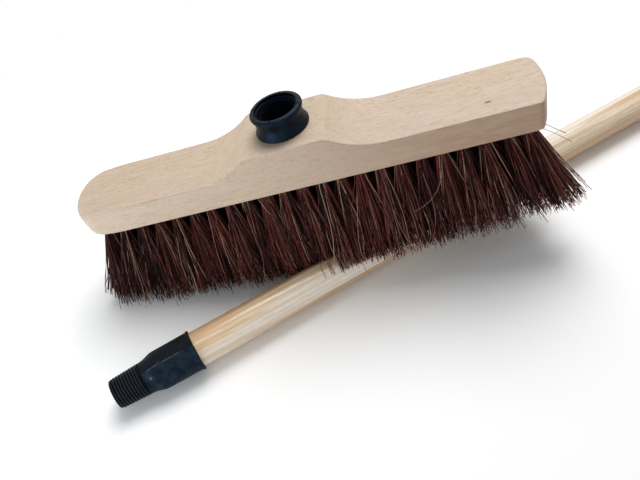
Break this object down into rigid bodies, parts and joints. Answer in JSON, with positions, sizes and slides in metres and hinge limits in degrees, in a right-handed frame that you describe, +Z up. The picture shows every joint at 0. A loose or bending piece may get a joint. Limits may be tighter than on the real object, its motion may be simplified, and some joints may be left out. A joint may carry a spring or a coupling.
{
  "type": "yard broom",
  "caption": "Yard broom unscrewed for storage: a beech head with stiff dark bristles lies across its round wooden handle with a threaded end.",
  "frame": {"origin": "centre of the bounding box, at ground level", "axes": "+X along the handle from its threaded end to its plain end, +Z up, +Y away from the side the bristles fan over the handle"},
  "size_m": [1.22, 0.239, 0.1498],
  "materials": {
    "beech": "bare planed beech",
    "lacquered_wood": "clear lacquer",
    "dark_plastic": "satin moulded",
    "dark_red_fibre": "stiff natural fibre",
    "anchor_steel": "flat wire"
  },
  "bodies": {
    "handle": {"handle_stick": "lacquered_wood", "ferrule": "dark_plastic"},
    "head": {"stock": "beech", "socket": "dark_plastic", "bristle_row_1": "dark_red_fibre", "bristle_row_2": "dark_red_fibre", "bristle_row_3": "dark_red_fibre", "bristle_row_4": "dark_red_fibre", "bristle_row_5": "dark_red_fibre", "anchors_row_1": "anchor_steel", "anchors_row_2": "anchor_steel", "anchors_row_3": "anchor_steel", "anchors_row_4": "anchor_steel", "anchors_row_5": "anchor_steel"}
  },
  "joints": [
    {"name": "head_lift", "type": "slide", "parent": "handle", "child": "head", "axis": [0, 0, 1], "range_m": [0, 0.15]}
  ]
}
